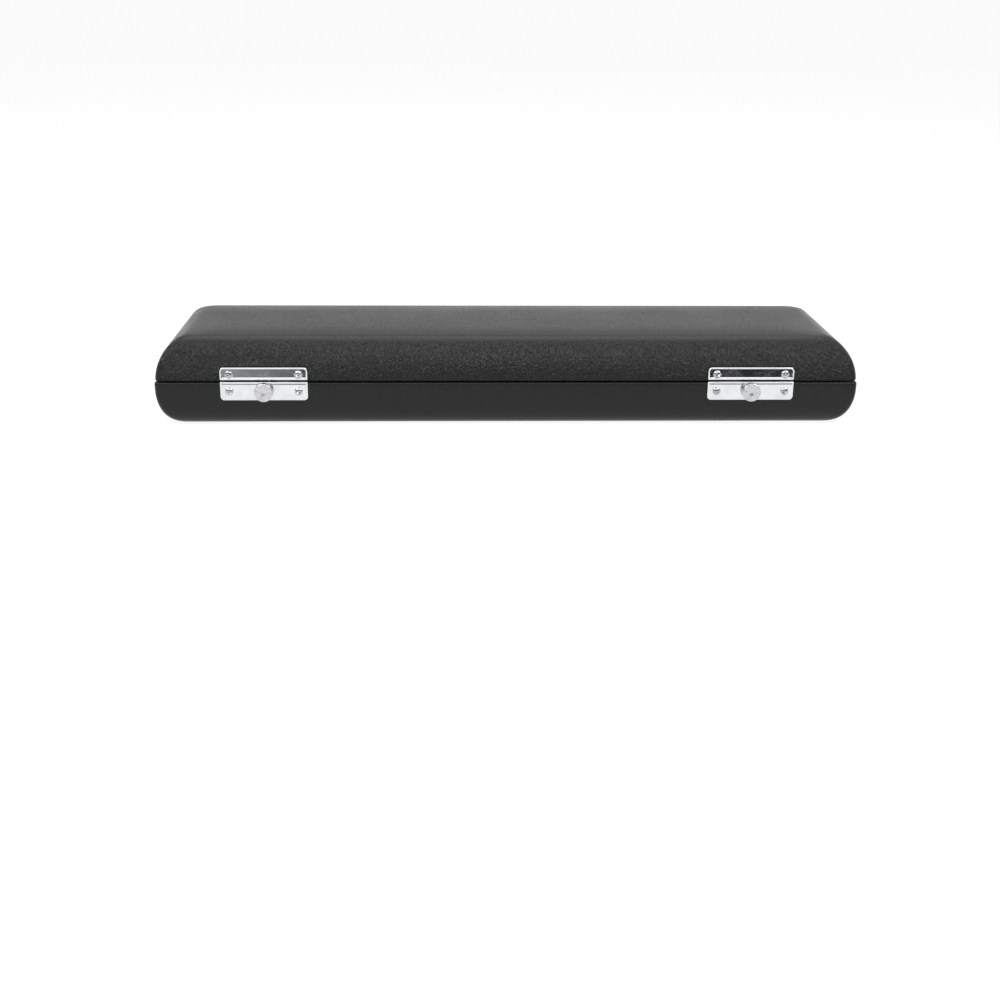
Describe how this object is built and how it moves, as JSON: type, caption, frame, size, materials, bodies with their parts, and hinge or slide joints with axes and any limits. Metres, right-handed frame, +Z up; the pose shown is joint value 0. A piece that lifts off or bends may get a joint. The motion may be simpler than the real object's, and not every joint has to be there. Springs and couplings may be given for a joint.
{
  "type": "flute case",
  "caption": "Hard rectangular flute case with a hinged padded lid, plush-lined fitted cradle and sliding plate latches.",
  "frame": {"origin": "centre of the flat bottom that the closed case rests on", "axes": "+Z up, +X along the case to the right as seen from the latches, -Y to the latch side"},
  "size_m": [0.401, 0.1253, 0.05],
  "materials": {
    "leatherette": "fine pebbled grain, semi-matt",
    "board": "raw hardboard and ply",
    "foam": "dense cut foam",
    "plush": "short black pile",
    "polished_plate": "bright nickel plate",
    "spun_knob": "radially spun face",
    "steel": "plain zinc plate",
    "bright_screw": "bright nickel plate"
  },
  "bodies": {
    "base": {"base_shell": "board", "base_wrap": "leatherette", "cradle_block": "foam", "cradle_plush": "plush", "left_latch_plate": "polished_plate", "left_latch_back_plate": "steel", "left_latch_spring": "steel", "left_latch_screws": "bright_screw", "left_hinge_base_leaf": "polished_plate", "left_hinge_pin": "steel", "left_hinge_base_screws": "bright_screw", "right_latch_plate": "polished_plate", "right_latch_back_plate": "steel", "right_latch_spring": "steel", "right_latch_screws": "bright_screw", "right_hinge_base_leaf": "polished_plate", "right_hinge_pin": "steel", "right_hinge_base_screws": "bright_screw"},
    "lid": {"lid_shell": "board", "lid_padding": "foam", "lid_wrap": "leatherette", "lid_lining": "plush", "lid_cushion": "plush", "left_strike_plate": "polished_plate", "left_catch_plate": "polished_plate", "left_strike_screws": "bright_screw", "left_hinge_lid_leaf": "polished_plate", "left_hinge_lid_screws": "bright_screw", "right_strike_plate": "polished_plate", "right_catch_plate": "polished_plate", "right_strike_screws": "bright_screw", "right_hinge_lid_leaf": "polished_plate", "right_hinge_lid_screws": "bright_screw"},
    "left_slide": {"left_latch_slide": "steel", "left_latch_knob": "spun_knob"},
    "right_slide": {"right_latch_slide": "steel", "right_latch_knob": "spun_knob"}
  },
  "joints": [
    {"name": "lid_hinge", "type": "hinge", "parent": "base", "child": "lid", "pos_m": [0, 0.0587, 0.026], "axis": [-1, 0, 0], "range_deg": [0, 105]},
    {"name": "left_latch", "type": "slide", "parent": "base", "child": "left_slide", "axis": [-1, 0, 0], "range_m": [0, 0.003], "stiffness_N_per_m": 400, "springref_m": -0.003, "deforming": ["left_latch_spring"]},
    {"name": "right_latch", "type": "slide", "parent": "base", "child": "right_slide", "axis": [1, 0, 0], "range_m": [0, 0.003], "stiffness_N_per_m": 400, "springref_m": -0.003, "deforming": ["right_latch_spring"]}
  ]
}
